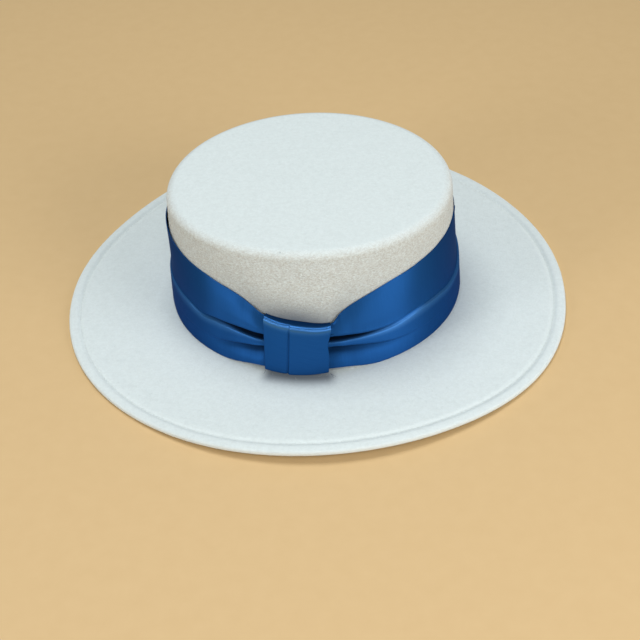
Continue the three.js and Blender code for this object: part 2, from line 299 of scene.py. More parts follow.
def makeFelt():
    # rings from the middle of the tip over its edge, down the wall, out along the brim and round
    # the hem, then back underneath and up inside, closed at both middles
    print("felt body")
    steps = feltRings["steps"]
    degrees = np.arange(steps) * 360 / steps
    rings = []
    looks = []
    tipRadius = hat["tipEdgeRadius"]
    wall = hat["feltWall"]
    innerRadius = tipRadius - wall

    def tip(share, inset, radius):
        # the tip's outline shrunk to a share of itself, raised by a parabola
        points = tipEdgePoints(degrees, 90, inset, radius)
        points[:, :2] *= share
        points[:, 2] += hat["tipDome"] * (1 - share * share)
        return points

    def look(paintedShade, standing):
        # one ring's share of painted shade and of standing nap
        looks.append(np.stack([np.broadcast_to(paintedShade, steps), np.broadcast_to(standing, steps)], axis=-1))

    for share in np.linspace(0.03, 0.97, feltRings["tip"]):
        rings.append(tip(share, 0, tipRadius))
        look(0, nap["flat"])
    for turn in np.linspace(90, 0, feltRings["tipEdge"]):
        rings.append(tipEdgePoints(degrees, turn, 0, tipRadius))
        look(0, mix(nap["wall"], nap["flat"], turn / 90))
    for z in np.linspace(wallTop, brimFoot, feltRings["wall"])[1:]:
        rings.append(crownPoints(degrees, z, hat["wallUneven"] * ripple(degrees, z, wallWaves, seed=5)))
        look(wallShadeAboveBand(degrees, z), nap["wall"])
    grooveEdge = brim["hemWidth"] + brim["grooveWidth"] / 2
    for share in np.linspace(0, 1, feltRings["brim"])[1:]:
        rings.append(brimPoints(degrees, share, 0, grooveEdge, 0))
        look(knotShadowOnBrim(degrees, share * nap["brimWidth"]), nap["flat"])
    # groove and plump top of the hem: a bell-shaped dip at the stitches, a shallow rise beyond
    edgeRadius = brim["hemEdgeRadius"]
    spread = brim["grooveSoftness"] * brim["grooveWidth"]
    for inset in np.linspace(grooveEdge, edgeRadius, feltRings["hemTop"])[1:-1]:
        dip = brim["grooveDepth"] * np.exp(-((inset - brim["hemWidth"]) / spread) ** 2)
        rise = np.clip((brim["hemWidth"] - inset) / (brim["hemWidth"] - edgeRadius), 0, 1)
        plump = brim["hemCrown"] * np.sin(np.pi * rise)
        rings.append(hemPoints(degrees, inset, brim["hemThickness"] - dip + plump))
    for turn in np.linspace(90, -90, feltRings["hemEdge"]):
        centre = mix(edgeRadius, brim["hemThickness"] - edgeRadius, ease(-90, 90, turn))
        inset = edgeRadius * (1 - np.cos(np.radians(turn)))
        rings.append(hemPoints(degrees, inset, centre + edgeRadius * np.sin(np.radians(turn))))
    # flat underside of the hem and the small step where its edge is turned in
    for share in (0.35, 0.8):
        rings.append(hemPoints(degrees, share * brim["hemWidth"], 0))
    rings.append(hemPoints(degrees, brim["hemWidth"] - 0.3, 0.1))
    rings.append(hemPoints(degrees, brim["hemWidth"], 0.5))
    for share in np.linspace(1, 0, feltRings["brimUnder"]):
        rings.append(brimPoints(degrees, share, -wall, brim["hemWidth"], wall))
    for z in np.linspace(brimFoot - wall, wallTop, feltRings["wallInside"])[1:-1]:
        rings.append(crownPoints(degrees, z, -wall))
    for turn in np.linspace(0, 90, feltRings["tipEdgeInside"]):
        rings.append(tipEdgePoints(degrees, turn, wall, innerRadius))
    for share in np.linspace(0.95, 0.05, feltRings["tipInside"]):
        rings.append(tip(share, wall, innerRadius))

    while len(looks) < len(rings):
        look(0, nap["flat"])

    grid = np.array(rings)
    points = grid.reshape(-1, 3)
    faces = gridFaces(len(rings), steps, False, True)
    piece = meshWithPoles("felt_shell", points, faces, steps, len(rings))
    poles = np.array([[0, nap["flat"]], [0, nap["flat"]]])
    surfaceUV(piece, "felt", np.vstack([np.array(looks).reshape(-1, 2), poles]))
    return piece


def meshWithPoles(name, points, faces, steps, ringCount):
    # the quads are split into triangles, and the first and last rings closed by fans to their middles
    middles = np.array([points[:steps].mean(axis=0), points[-steps:].mean(axis=0)])
    allPoints = np.vstack([points, middles])
    topPole = len(points)
    ahead = np.arange(steps)
    after = (ahead + 1) % steps
    top = np.stack([np.full(steps, topPole), ahead, after], axis=1)
    base = (ringCount - 1) * steps
    bottom = np.stack([np.full(steps, topPole + 1), base + after, base + ahead], axis=1)
    split = np.vstack([faces[:, [0, 1, 2]], faces[:, [0, 2, 3]]])
    return meshObject(name, allPoints, np.vstack([split, top, bottom]))


# Shape of the satin
band = {
    "height": 66.5,
    "restGap": 0.1,
    "sheet": 0.45,        # two layers of satin
    "standOff": 0.6,      # outer face of the flat band, off the felt
    "foldDepth": 4.0,
    "knotWidth": 41.4,
    "knotSheet": 0.55,
    "knotGap": 0.12,
    "knotStandOff": 0.6,
    "riseReach": 20.0,    # degrees over which the band rises to the knot
    "standReach": 9.0,    # degrees over which it stands off to pass the knot's back
    "foldReach": 32.0,    # degrees over which the folds open towards the knot
    "knotFloat": 3.2,     # the knot's foot stands this far above the brim
    "creaseReach": 2.2,   # half width of the lower crease away from the knot
    "creaseReachAtKnot": 4.2,
    "turnIn": 0.8,        # how soon the fold turns in, as a share of its gape
    "turnInAtKnot": 0.13,
    "edgeHighlight": 0.6,          # strength of the painted highlight along the fold's edge
    "edgeHighlightAtKnot": 0.3,
    "creaseShade": 0.8,
    "rows": 112,          # points up the section
    "fineTo": 24.0,       # degrees from the knot up to which the sections are close together
    "fineStep": 0.2,
    "wideStep": 0.5,
}

# Sections of the band, degrees round from the knot towards +X. top, fold, gape (how far the fold
# opens below the roll) and crease are heights as shares of the band's height, the rest how far
# the satin stands off, as shares of foldDepth.
bandColumns = [
    "at", "top", "fold", "gape", "crease", "lip", "roll", "deep", "belly", "shallow", "skirt", "foot",
]
bandSections = np.array([
    [-180, 1, 0.42, 0.035, 0.18, 0.06, 0.12, 0.1, 0.3, 0.28, 0.26, 0.12],
    [-110, 1, 0.43, 0.035, 0.18, 0.1, 0.08, 0.08, 0.3, 0.28, 0.26, 0.14],
    [-87, 1, 0.44, 0.035, 0.18, 0.34, 0.04, 0.05, 0.3, 0.29, 0.28, 0.15],
    [-68, 0.982, 0.455, 0.035, 0.18, 0.2, 0.06, 0.06, 0.34, 0.31, 0.3, 0.18],
    [-52, 0.945, 0.455, 0.035, 0.18, 0.06, 0.12, 0.1, 0.38, 0.34, 0.34, 0.22],
    [-42, 0.922, 0.42, 0.035, 0.18, 0.06, 0.24, 0.12, 0.4, 0.36, 0.38, 0.26],
    [-34, 0.895, 0.46, 0.055, 0.185, 0.08, 0.46, 0.02, 0.44, 0.24, 0.42, 0.3],
    [-24, 0.838, 0.477, 0.075, 0.228, 0.08, 0.68, 0, 0.6, 0.1, 0.48, 0.36],
    [-17, 0.752, 0.473, 0.082, 0.252, 0.08, 0.8, 0, 0.7, 0, 0.5, 0.4],
    [-12, 0.672, 0.47, 0.082, 0.275, 0.1, 0.8, 0, 0.7, 0, 0.5, 0.4],
    [0, 0.612, 0.44, 0.06, 0.26, 0.15, 0.75, 0.3, 0.65, 0.35, 0.5, 0.4],
    [13, 0.583, 0.462, 0.078, 0.286, 0.1, 0.8, 0, 0.7, 0, 0.5, 0.4],
    [17, 0.69, 0.452, 0.076, 0.272, 0.08, 0.8, 0, 0.7, 0, 0.5, 0.4],
    [24, 0.79, 0.428, 0.06, 0.248, 0.08, 0.64, 0, 0.58, 0.04, 0.48, 0.36],
    [36, 0.884, 0.403, 0.04, 0.202, 0.06, 0.38, 0.03, 0.45, 0.22, 0.42, 0.3],
    [52, 0.945, 0.445, 0.035, 0.18, 0.04, 0.12, 0.1, 0.4, 0.36, 0.36, 0.22],
    [62, 0.965, 0.435, 0.035, 0.18, 0.02, 0.06, 0.06, 0.4, 0.37, 0.34, 0.2],
    [72, 0.982, 0.4, 0.035, 0.18, 0, 0.02, 0.02, 0.42, 0.4, 0.37, 0.21],
    [88, 1.003, 0.395, 0.035, 0.18, 0, 0, 0, 0.45, 0.44, 0.4, 0.22],
    [105, 1, 0.475, 0.035, 0.18, 0, 0.02, 0.02, 0.4, 0.38, 0.34, 0.18],
])


def knotHalf():
    # half the knot's width as an angle round the crown
    return np.degrees(band["knotWidth"] / (hat["footLength"] + band["foldDepth"] + band["knotSheet"]))


def drawnIn(away, reach):
    # 1 inside the knot, 0 beyond the reach
    return 1 - ease(knotHalf() + 0.7, knotHalf() + reach, np.abs(away))


def bandRows(away):
    # control points of the section from the bottom edge to the top edge: height, stand-off, the
    # share of painted shade inside a fold and the share of painted highlight along its bent edge.
    # Beside the knot the fold is a slit below the upper roll.
    value = {name: tableCurve(bandSections, index, away) for index, name in enumerate(bandColumns)}
    near = drawnIn(away, band["foldReach"])
    raised = band["knotFloat"] + band["knotSheet"] + band["knotGap"] - band["restGap"]
    bottom = brimFoot + band["restGap"] + drawnIn(away, band["riseReach"]) * raised
    seat = brimFoot + hat["seatGap"]
    top, fold, crease = (seat + value[name] * band["height"] for name in ("top", "fold", "crease"))
    gape = value["gape"] * band["height"]
    ridge = fold - gape
    reach = mix(band["creaseReach"], band["creaseReachAtKnot"], near)
    turnIn = gape * mix(band["turnIn"], band["turnInAtKnot"], near)
    upper = mix(fold, top, 0.35)
    deep, roll, belly = value["deep"], value["roll"], value["belly"]
    shallow, skirt, lip = value["shallow"], value["skirt"], value["lip"]
    # the fold counts as a slit, and slit and crease get painted shade, once they are some millimetres deep
    slit = ease(0.3, 0.95, (belly + roll - 2 * deep) * band["foldDepth"] / 5)
    wedge = band["creaseShade"] * np.clip((belly - shallow) * band["foldDepth"] / 2.5 - 0.15, 0, 1)
    none = np.zeros_like(away)
    # strength of the painted highlight along the ridge below the fold
    edgeHighlight = mix(band["edgeHighlight"], band["edgeHighlightAtKnot"], near)
    rows = [
        (bottom, value["foot"], none, none),
        (mix(bottom, crease - 2.1 * reach, 0.5), skirt * 1.02, none, none),
        (crease - 2.1 * reach, skirt, none, none),
        (crease - 1.2 * reach, mix(skirt, shallow, 0.45), 0.3 * wedge, none),
        (crease - 0.6 * reach, mix(skirt, shallow, 0.85), 0.9 * wedge, none),
        (crease, shallow, wedge, none),
        (crease + 0.3 * reach, mix(shallow, belly, 0.2), wedge, none),
        (crease + 0.75 * reach, mix(shallow, belly, 0.85), 0.3 * wedge, none),
        (mix(crease + 0.75 * reach, ridge, 0.25), mix(shallow, belly, 0.96), none, none),
        (mix(crease + 0.75 * reach, ridge, 0.6), belly, none, none),
        (ridge, belly, none, edgeHighlight),
        (ridge + 0.5 * turnIn, mix(belly, deep, mix(0.5, 0.3, near)), 0.5 * slit, edgeHighlight),
        (ridge + turnIn, mix(belly, deep, 0.9), slit, none),
        (mix(ridge + turnIn, fold, 0.6), deep, slit, none),
        (fold + 0.3 * (1 - slit), deep, slit, none),
        (fold + mix(0.8, 0.04 * gape, slit), mix(deep, roll, 0.45), slit, none),
        (fold + 1.1 * (1 - slit), mix(deep, roll, 0.88), 0.3 * slit, none),
        (fold + 1.6, roll, none, none),
        (mix(fold + 1.6, upper, 0.1), roll, none, none),
        (mix(fold + 1.6, upper, 0.4), roll * 1.01, none, none),
        (upper, roll * 1.02, none, none),
        (mix(fold, top, 0.65), mix(roll, lip, 0.4), none, none),
        (mix(fold, top, 0.85), mix(roll, lip, 0.8), none, none),
        (top - 0.6, lip, none, none),
        (top, lip, none, none),
    ]
    z = np.stack([row[0] for row in rows])
    off = np.stack([np.maximum(row[1], 0) for row in rows]) * band["foldDepth"]
    looks = np.stack([np.stack(row[2:], axis=-1) for row in rows])
    passed = drawnIn(away, band["standReach"]) * (band["knotStandOff"] + hat["seatGap"])
    return z, off + passed, looks


def smoothRows(rows, count):
    # Catmull-Rom curve through the control rows, sampled evenly
    padded = np.concatenate([2 * rows[:1] - rows[1:2], rows, 2 * rows[-1:] - rows[-2:-1]])
    at = np.linspace(0, len(rows) - 1, count)
    first = np.minimum(at.astype(int), len(rows) - 2)
    u = (at - first)[:, None]
    p0, p1, p2, p3 = (padded[first + k] for k in range(4))
    squared = (2 * p0 - 5 * p1 + 4 * p2 - p3) * u ** 2
    cubed = (3 * p1 - p0 - 3 * p2 + p3) * u ** 3
    return 0.5 * (2 * p1 + (p2 - p0) * u + squared + cubed)


# Small gathers that fan out from the knot: heights in millimetres, waves in radians over the
# band's height, slants in radians for each degree away from the knot
gathers = {
    "height": 0.16,
    "fadeReach": 13.0,    # degrees
    "coarse": 34.0,
    "coarseSlant": 0.09,
    "coarseShift": 0.9,   # sets the two sides of the knot apart
    "fine": 57.0,
    "fineSlant": 0.12,
    "fineShift": 2.1,
    "fineShare": 0.6,
    "softHeight": 0.14,   # slight unevenness of the whole ribbon
}

# Waves of the satin's unevenness, as those of the felt
bandWaves = [(5, 1), (9, -1.3), (14, 1.7), (23, -0.8)]
knotWaves = [(3, 1), (6, 1.5), (9, -1)]


def bandSurface(away, count):
    # outer face of the satin, heights and stand-offs on a count x angles grid: the section's
    # smooth curve plus two sine waves beside the knot, which fade away from it exponentially
    z, off, looks = bandRows(away)
    z = smoothRows(z, count)
    off = smoothRows(off, count)
    looks = np.clip(np.stack([smoothRows(looks[..., k], count) for k in range(2)], axis=-1), 0, 1)
    up = np.linspace(0, 1, count)[:, None]
    beside = np.abs(away)[None, :] - knotHalf()
    fade = np.exp(-np.maximum(beside, 0) / gathers["fadeReach"]) * ease(-2, 3, beside)
    side = np.sign(away)[None, :]
    slant = beside * gathers["coarseSlant"]
    coarse = np.sin(up * gathers["coarse"] + slant + side * gathers["coarseShift"])
    slant = -beside * gathers["fineSlant"]
    fine = np.sin(up * gathers["fine"] + slant + side * gathers["fineShift"])
    fan = gathers["height"] * fade * (coarse + gathers["fineShare"] * fine)
    soft = gathers["softHeight"] * ripple(away[None, :], up * 6, bandWaves, seed=11)
    taper = np.sin(np.pi * np.clip(up, 0, 1)) ** 0.5
    off = off + taper * (fan + soft)
    return z, np.maximum(off, 0), looks


def sheetBothSides(outer, thickness):
    # the inner face follows the outer one along its normals, at the sheet's thickness
    alongRows = np.gradient(outer, axis=0)
    alongAngles = np.roll(outer, -1, axis=1) - np.roll(outer, 1, axis=1)
    normal = np.cross(alongAngles, alongRows)
    normal /= np.linalg.norm(normal, axis=-1, keepdims=True)
    return outer - normal * thickness


def makeBand():
    # closed sheet: the section curve at every angle, finer near the knot, and its inner face
    print("satin band")
    fine = np.arange(-band["fineTo"], band["fineTo"], band["fineStep"])
    wide = np.arange(band["fineTo"], 360 - band["fineTo"], band["wideStep"])
    away = awayFrom(np.concatenate([fine, wide]), 0)
    z, off, looks = bandSurface(away, band["rows"])
    degrees = np.broadcast_to(hat["knotAt"] + away, z.shape)
    outer = crownPoints(degrees, z, band["standOff"] + off)
    inner = sheetBothSides(outer, band["sheet"])
    loops = np.concatenate([outer, inner[::-1]])
    points = loops.reshape(-1, 3)
    faces = gridFaces(len(loops), len(away), True, True)[:, ::-1]
    piece = meshObject("satin_band", points, faces)
    around = np.radians(away) * hat["footLength"] / 2
    step = np.linalg.norm(np.diff(outer, axis=0), axis=-1)
    path = np.concatenate([np.zeros((1, len(away))), np.cumsum(step, axis=0)])
    height = np.concatenate([path, path[::-1]])
    across = np.broadcast_to(around, height.shape)
    surfaceUV(piece, "cloth", np.stack([across, height], axis=-1).reshape(-1, 2))
    # painted shade on the inner face, except for about a millimetre below the top edge
    behind = np.stack([np.clip(z[-1] - z, 0, 1), np.zeros_like(z)], axis=-1)
    surfaceUV(piece, "folds", np.concatenate([looks, behind[::-1]]).reshape(-1, 2))
    return piece


knot = {
    "columns": 121,
    "topRadius": 3.6,
    "topDepth": 3.2,      # how far back the bent upper edge reaches
    "sideRadius": 0.9,
    "pleatAt": -0.2,      # share of half the width, left of the middle
    "pleatStep": 0.7,
    "pleatDip": 0.5,
    "pleatLean": 0.03,    # how much further left the pleat's foot is
    "bulge": 2.0,
    "topWider": 0.3,      # degrees that each side of the top stands out beyond the foot
    "topShift": 0.7,      # degrees that the top is turned to the right, and the foot to the left
    "waist": 1.3,         # the right side is nipped in by this much
    "waistAt": 0.62,      # share of the height
    "soft": 0.12,         # slight unevenness of its front
    "frontClear": 0.2,
    "backOff": 0.15,      # from its hidden back to the felt
    "highlightBelow": 1.7,     # the painted highlight along the bent edge lies this far below the top
    "highlightBehind": 0.4,
    "highlightReach": 2.1,     # and fades over this distance
    "highlightLeft": 0.95,     # how strong the painted highlight is at the left and the right
    "highlightRight": 0.65,
    "topShade": 0.45,     # the top behind it lies in the crown's shade
}


def makeKnot():
    # at each place across, a rounded rectangle goes once round the band: its front is bulged by a
    # parabola, with a smooth step and a bell-shaped groove at the pleat
    print("satin knot")
    columns = knot["columns"]
    across = np.linspace(-1, 1, columns)
    away = across * knotHalf()
    z, off, _ = bandRows(away)
    top = z[-1] + band["knotGap"] + band["knotSheet"]
    bottom = z[0] - band["knotGap"] - band["knotSheet"]
    fullest = band["standOff"] + off.max(axis=0).mean()
    front = fullest + band["knotGap"] + band["knotSheet"] + knot["frontClear"]
    front = front + knot["bulge"] * (1 - across ** 2)
    back = np.full(columns, knot["backOff"])
    loopZ, loopOff = roundedLoop(
        back, front, bottom, top, knot["topRadius"], knot["topDepth"], knot["sideRadius"])
    # soft creases across the front, and the nipped right side
    up = (loopZ - bottom) / (top - bottom)
    frontness = ease(0.5, 0.9, (loopOff - back) / (front - back))
    pleatAt = knot["pleatAt"] - knot["pleatLean"] * (1 - up)
    step = knot["pleatStep"] * ease(pleatAt - 0.015, pleatAt + 0.015, across)
    dip = knot["pleatDip"] * np.exp(-((across - pleatAt + 0.03) / 0.03) ** 2)
    loopOff = loopOff + frontness * (step - dip)
    loopOff = loopOff + frontness * knot["soft"] * ripple(across[None, :] * 40, up * 7, knotWaves, seed=21)
    nip = np.exp(-((up - knot["waistAt"]) / 0.2) ** 2) * ease(0.3, 1, across) * frontness
    turned = away[None, :] + (2 * up - 1) * (knot["topWider"] * across + knot["topShift"])
    degrees = hat["knotAt"] + turned - np.degrees(nip * knot["waist"] / (hat["footLength"] / 2))
    outer = crownPoints(np.broadcast_to(degrees, loopZ.shape), loopZ, loopOff)
    sheet = band["knotSheet"]
    inZ, inOff = roundedLoop(
        back + sheet, front - sheet, bottom + sheet, top - sheet,
        knot["topRadius"] - sheet, knot["topDepth"] - sheet, knot["sideRadius"] - sheet)
    inner = crownPoints(np.broadcast_to(degrees, inZ.shape), inZ, inOff)
    loops = np.concatenate([outer, inner[:, ::-1]], axis=1)
    points = loops.reshape(-1, 3)
    faces = gridFaces(loops.shape[0], loops.shape[1], True, True)
    piece = meshObject("satin_knot", points, faces)
    path = np.cumsum(np.linalg.norm(np.diff(outer, axis=0, append=outer[:1]), axis=-1), axis=0)
    width = np.broadcast_to(across * band["knotWidth"] / 2, path.shape)
    oneSide = np.stack([path, width], axis=-1)
    uv = np.concatenate([oneSide, oneSide[:, ::-1]], axis=1)
    surfaceUV(piece, "cloth", uv.reshape(-1, 2))
    # painted highlight along the tight bend of the upper edge, painted shade on the top behind it where
    # the crown's shade falls, and on the whole inner face
    shade = np.zeros((*loops.shape[:2], 2))
    fromHighlight = np.hypot(loopZ - top + knot["highlightBelow"], loopOff - front + knot["highlightBehind"])
    light = mix(knot["highlightLeft"], knot["highlightRight"], (across + 1) / 2)
    shade[:, :columns, 1] = light * np.exp(-(fromHighlight / knot["highlightReach"]) ** 2)
    behindBend = 1 - ease(-2.6, -1.4, loopOff - front)
    shade[:, :columns, 0] = knot["topShade"] * behindBend * ease(0.8, 0.97, up)
    shade[:, columns:, 0] = 1
    surfaceUV(piece, "folds", shade.reshape(-1, 2))
    return piece


def roundedLoop(back, front, bottom, top, topRadius, topDepth, sideRadius):
    # once round a rectangle with rounded corners, up the back, over the top and down the front
    straight = 22
    turns = 16
    power = 0.88          # of the superellipse, 1 would be a plain one
    parts = []

    def corner(off, z, radius, start, depth):
        # superellipse, so that the bend fades out into the straight sides
        centreOff = np.where(off == back, back + depth, front - depth)
        centreZ = np.where(z == bottom, bottom + radius, top - radius)
        for turn in np.radians(np.linspace(start, start - 90, turns)):
            up = np.sign(np.sin(turn)) * np.abs(np.sin(turn)) ** power
            out = np.sign(np.cos(turn)) * np.abs(np.cos(turn)) ** power
            parts.append((centreZ + radius * up, centreOff + depth * out))

    def side(count):
        # fills the straight stretch up to the corner that comes next
        parts.append(count)

    corner(back, bottom, sideRadius, 270, sideRadius)
    side(straight)
    corner(back, top, sideRadius, 180, sideRadius)
    side(3)
    corner(front, top, topRadius, 90, topDepth)
    side(straight)
    corner(front, bottom, sideRadius, 0, sideRadius)
    side(3)
    rows = []
    for index, part in enumerate(parts):
        if not isinstance(part, int):
            rows.append(part)
            continue
        start = rows[-1]
        end = parts[(index + 1) % len(parts)]
        for share in np.linspace(0, 1, part + 2)[1:-1]:
            rows.append((mix(start[0], end[0], share), mix(start[1], end[1], share)))
    return np.stack([row[0] for row in rows]), np.stack([row[1] for row in rows])


def strands(name, centres, radius, sides=3):
    # many thin strands at once: centres is strands x steps x 3, each a closed tapering tube
    count, steps, _ = centres.shape
    along = np.gradient(centres, axis=1)
    along /= np.linalg.norm(along, axis=-1, keepdims=True) + 1e-9
    helper = np.where(np.abs(along[..., 2:3]) < 0.9, [0.0, 0.0, 1.0], [1.0, 0.0, 0.0])
    first = np.cross(along, helper)
    first /= np.linalg.norm(first, axis=-1, keepdims=True) + 1e-9
    second = np.cross(along, first)
    turn = np.linspace(0, 2 * np.pi, sides, endpoint=False)
    ring = first[:, :, None, :] * np.cos(turn)[:, None] + second[:, :, None, :] * np.sin(turn)[:, None]
    points = centres[:, :, None, :] + ring * np.broadcast_to(radius, (count, steps))[:, :, None, None]
    one = gridFaces(steps, sides, False, True)
    one = np.vstack([one[:, [0, 1, 2]], one[:, [0, 2, 3]]])
    fans = np.array([[0, k + 1, k] for k in range(1, sides - 1)])
    base = (steps - 1) * sides
    ends = np.vstack([fans, base + fans[:, ::-1]])
    each = np.vstack([one, ends])[:, ::-1]
    faces = (each[None] + (np.arange(count) * steps * sides)[:, None, None]).reshape(-1, 3)
    return meshObject(name, points.reshape(-1, 3), faces)


stitches = {"pitch": 3.4, "length": 2.6, "thread": 0.24, "sink": 0.2}


def makeStitches():
    # short tubes in a row along the groove, whose height falls off as a parabola to both ends
    print("hem stitches")
    fine = np.linspace(0, 360, 3601)
    path = hemPoints(fine, brim["hemWidth"], 0)
    length = np.concatenate([[0], np.cumsum(np.linalg.norm(np.diff(path, axis=0), axis=-1))])
    count = int(length[-1] / stitches["pitch"])
    middle = np.arange(count) * length[-1] / count
    share = np.linspace(-0.5, 0.5, 6)
    at = (middle[:, None] + share * stitches["length"]) % length[-1]
    degrees = np.interp(at, length, fine)
    rise = brim["hemThickness"] - brim["grooveDepth"] + stitches["thread"] * 0.5
    height = rise - (2 * share) ** 2 * (stitches["thread"] + stitches["sink"])
    centres = hemPoints(degrees, brim["hemWidth"], np.broadcast_to(height, degrees.shape))
    thickness = stitches["thread"] * (1 - 0.5 * (2 * share) ** 4)
    return strands("hem_stitches", centres, thickness, sides=6)


fibres = {
    "count": 7000,
    "shares": [0.2, 0.16, 0.44, 0.2],  # on tip, wall, brim and hem
    "shortest": 0.9,
    "longest": 2.6,
    "thickness": 0.035,
    "rise": 0.35,
    "tipRadius": 90.0,    # typical distances from the middle, which turn a length into an angle
    "wallRadius": 94.0,
    "brimRadius": 135.0,
    "hemRadius": 168.0,
    "brimWidth": 66.0,
    "wallFrom": 48.0,     # lowest height at which a fibre starts on the wall
    "wallLowest": 30.0,   # and the lowest that it reaches
}


def fibresOnTip(degrees, place, run, out, lift):
    # the tip's outline shrunk to a share that changes along the fibre
    share = np.clip(place + out / fibres["tipRadius"], 0, 0.99)
    angle = degrees + np.degrees(run / fibres["tipRadius"])
    points = tipEdgePoints(angle, 90, 0, hat["tipEdgeRadius"])
    points[..., :2] *= share[..., None]
    points[..., 2] += hat["tipDome"] * (1 - share ** 2) + lift
    return points


def fibresOnWall(degrees, place, run, out, lift):
    # the crown's oval at a height that changes along the fibre
    z = np.clip(mix(fibres["wallFrom"], wallTop, place) + out, fibres["wallLowest"], wallTop)
    return crownPoints(degrees + np.degrees(run / fibres["wallRadius"]), z, lift + hat["wallUneven"])


def fibresOnBrim(degrees, place, run, out, lift):
    # the brim's top face at a share that changes along the fibre
    share = np.clip(place + out / fibres["brimWidth"], 0.03, 1)
    points = feltBrim(degrees + np.degrees(run / fibres["brimRadius"]), share)
    points[..., 2] += lift
    return points


def fibresOnHem(degrees, place, run, out, lift):
    # round the hem's edge by 25 degrees for each millimetre, and in along its top beyond 90 degrees
    edgeRadius = brim["hemEdgeRadius"]
    around = np.clip(mix(100, -60, place) + out * 25, -80, 110)
    angle = degrees + np.degrees(run / fibres["hemRadius"])
    radius = edgeRadius + lift
    turned = np.radians(np.minimum(around, 90))
    inset = edgeRadius - radius * np.cos(turned) + np.maximum(around - 90, 0) * 0.25
    upper = brim["hemThickness"] - edgeRadius + radius * np.sin(turned)
    lower = edgeRadius + radius * np.sin(turned)
    return hemPoints(angle, inset, np.maximum(np.where(around < 0, lower, upper), 0.1))


def makeFibres():
    # short wool fibres that lie on the felt in curls and lift a little: start places are drawn
    # over tip, wall, brim and hem, and each fibre runs on along the surface in a bent line
    print("felt fibres")
    rng = np.random.default_rng(9)
    count = fibres["count"]
    kind = rng.choice(4, size=count, p=fibres["shares"])
    degrees = rng.uniform(0, 360, count)
    place = rng.uniform(0, 1, count) ** 0.6
    steps = 5
    along = np.linspace(0, 1, steps)
    heading = rng.uniform(0, 2 * np.pi, count)
    bend = rng.normal(0, 1.6, count)
    size = rng.uniform(fibres["shortest"], fibres["longest"], count)
    turn = heading[:, None] + bend[:, None] * along
    stepSize = size[:, None] / (steps - 1)
    run = np.cumsum(np.cos(turn) * stepSize, axis=1)
    out = np.cumsum(np.sin(turn) * stepSize, axis=1)
    rise = fibres["rise"] * rng.uniform(0.1, 1, count)[:, None]
    lift = rise * np.sin(np.pi * along * rng.uniform(0.5, 1, count)[:, None])
    onHem = kind == 3
    place[onHem] = rng.uniform(0, 1, onHem.sum())  # spread evenly round the hem's edge
    centres = np.zeros((count, steps, 3))
    for index, laidOn in enumerate((fibresOnTip, fibresOnWall, fibresOnBrim, fibresOnHem)):
        on = kind == index
        centres[on] = laidOn(degrees[on, None], place[on, None], run[on], out[on], lift[on])
    thickness = fibres["thickness"] * np.array([0.5, 1, 1, 0.8, 0.3])
    piece = strands("felt_fibres", centres, thickness)
    surfaceUV(piece, "felt", np.zeros((len(piece.data.vertices), 2)))
    return piece


# Angles are degrees from the knot's middle, at the fixed and the free end, the rest millimetres
threadColumns = ["fromAngle", "height", "standOff", "toAngle", "endHeight", "bend"]
looseThreads = np.array([
    [11.6, 3.4, 7.2, 12.4, 0.3, 0.5],
    [11.4, 3.2, 6.9, 13.2, 0.9, -0.4],
    [-11.9, 3.6, 6.6, -12.5, 1.2, 0.3],
])


def makeLooseThreads():
    # cut ends of satin thread below the knot's corners: each runs down in a sine-bent line
    print("loose threads")
    along = np.linspace(0, 1, 8)
    value = dict(zip(threadColumns, looseThreads.T[:, :, None]))
    sway = value["bend"] * np.sin(np.pi * along)
    degrees = hat["knotAt"] + mix(value["fromAngle"], value["toAngle"], along) + 0.3 * sway
    z = brimFoot + mix(value["height"], value["endHeight"], along)
    centres = crownPoints(degrees, z, value["standOff"] + 0.8 * along + sway)
    return strands("loose_threads", centres, 0.11 * (1 - 0.4 * along), sides=5)


def makeDarkFibre():
    # one stray dark fibre that stands on the front of the crown's edge
    print("stray fibre")
    along = np.linspace(0, 1, 6)
    centre = tipEdgePoints(np.full(6, -99.0), 55.0, 0, hat["tipEdgeRadius"])
    centre[:, 0] += 0.25 * np.sin(2.5 * along)
    centre[:, 1] -= 0.5 * along
    centre[:, 2] += 1.5 * along - 0.1
    return strands("stray_fibre", centre[None], np.full(6, 0.12), sides=5)


# Materials
def addNode(tree, kind, links=(), **settings):
    # one node with its settings, and links given as (from socket, input name)
    node = tree.nodes.new(kind)
    for name, value in settings.items():
        if hasattr(node, name):
            setattr(node, name, value)
        else:
            node.inputs[name.replace("_", " ")].default_value = value
    for source, target in links:
        tree.links.new(source, node.inputs[target])
    return node


def newMaterial(name):
    # an empty material, its node tree and its shader
    material = bpy.data.materials.new(name)
    material.use_nodes = True
    tree = material.node_tree
    return material, tree, tree.nodes["Principled BSDF"]


def colourBetween(tree, factor, first, second):
    # goes over from the first colour to the second as the factor rises
    ramp = addNode(tree, "ShaderNodeValToRGB", [(factor, "Fac")])
    ramp.color_ramp.elements[0].color = linearColour(first)
    ramp.color_ramp.elements[1].color = linearColour(second)
    return ramp


def colourMix(tree, factor, colour, hexCode):
    # a colour that goes over into a fixed one as the factor rises
    blend = addNode(tree, "ShaderNodeMix", data_type="RGBA")
    tree.links.new(factor, blend.inputs["Factor"])
    tree.links.new(colour, blend.inputs[6])
    blend.inputs[7].default_value = linearColour(hexCode)
    return blend.outputs[2]


feltLook = {
    "clean": "#dbe2de",
    "shaded": "#d3dad6",
    "paintedShade": "#787f84",  # painted shade above the band and painted shadow of the knot on the brim
    "tuft": "#bcbbb2",    # shade between the tufts of standing nap
    "nap": 1.4,           # mm across one tuft of the nap, coarser than real so that it shows
    "mottle": 3.0,        # mm across one soft cloud of colour
    "roughness": 0.95,
}


